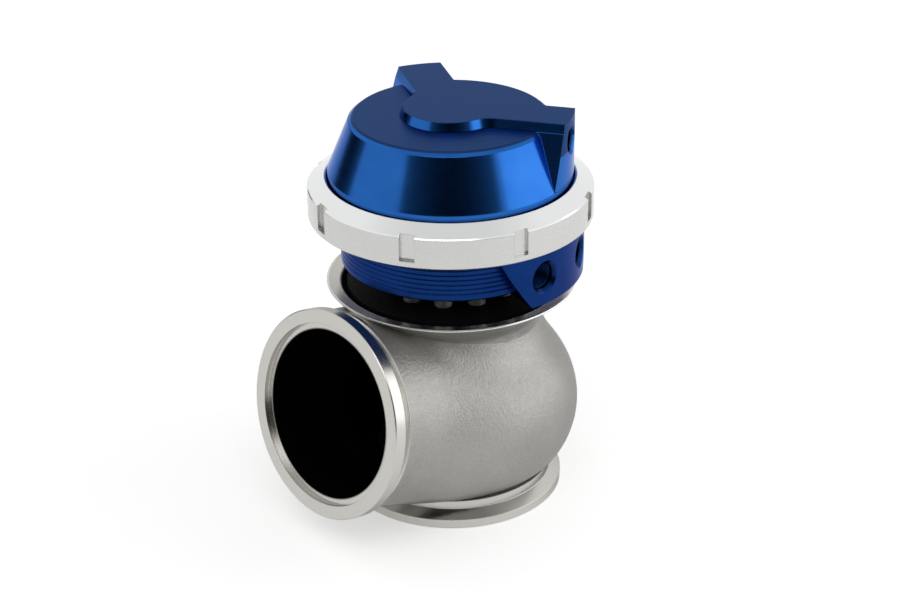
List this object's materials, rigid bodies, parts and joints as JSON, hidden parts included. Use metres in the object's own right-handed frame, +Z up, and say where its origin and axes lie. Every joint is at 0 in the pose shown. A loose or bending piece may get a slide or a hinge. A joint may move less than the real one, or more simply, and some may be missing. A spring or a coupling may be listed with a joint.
{
  "type": "turbo wastegate",
  "caption": "External exhaust wastegate: cast valve body with tilted outlet, poppet valve, and a sprung diaphragm actuator under a threaded collar.",
  "frame": {"origin": "centre of the inlet flange's bottom face, on the valve axis", "axes": "+Z up the valve axis towards the actuator, the outlet towards -Y and tilted 9.95 degrees upwards"},
  "size_m": [0.094, 0.1099, 0.1368],
  "materials": {
    "cast_stainless": "matt as-cast stainless steel, machined and polished on the flanges",
    "blue_anodised": "glossy blue anodised machined aluminium",
    "satin_aluminium": "satin clear-anodised machined aluminium",
    "stainless": "bright machined stainless steel",
    "spring_steel": "shot-peened spring wire",
    "valve_steel": "ground heat-resisting steel",
    "bronze": "machined bronze",
    "black_shield": "black heat-resisting coating",
    "black_rubber": "moulded fluorosilicone rubber"
  },
  "bodies": {
    "housing": {"valve_body": "cast_stainless", "valve_seat": "valve_steel", "valve_guide": "bronze", "heat_shield": "black_shield", "spacer_sleeves": "stainless", "base_screws": "stainless", "lower_housing": "blue_anodised", "stem_seal": "black_rubber", "seal_clip": "spring_steel", "diaphragm": "black_rubber", "spring_outer": "spring_steel", "spring_middle": "spring_steel", "spring_inner": "spring_steel"},
    "valve_train": {"valve": "valve_steel", "lower_plate": "satin_aluminium", "upper_plate": "satin_aluminium", "stem_washer": "stainless", "stem_nut": "stainless"},
    "cap": {"top_cap": "blue_anodised"},
    "collar": {"locking_collar": "satin_aluminium"}
  },
  "joints": [
    {"name": "valve_lift", "type": "slide", "parent": "housing", "child": "valve_train", "axis": [0, 0, 1], "range_m": [0, 0.012], "stiffness_N_per_m": 12000, "deforming": ["spring_outer", "spring_middle", "spring_inner", "diaphragm"]},
    {"name": "cap_lift", "type": "slide", "parent": "housing", "child": "cap", "axis": [0, 0, 1], "range_m": [0, 0.0045]},
    {"name": "collar_turn", "type": "hinge", "parent": "cap", "child": "collar", "pos_m": [0, 0, 0.105], "axis": [0, 0, 1], "range_deg": [0, 1080]}
  ],
  "couplings": [
    {"joint": "collar_turn", "follows": "cap_lift", "rad_per_m": 4188.8}
  ]
}
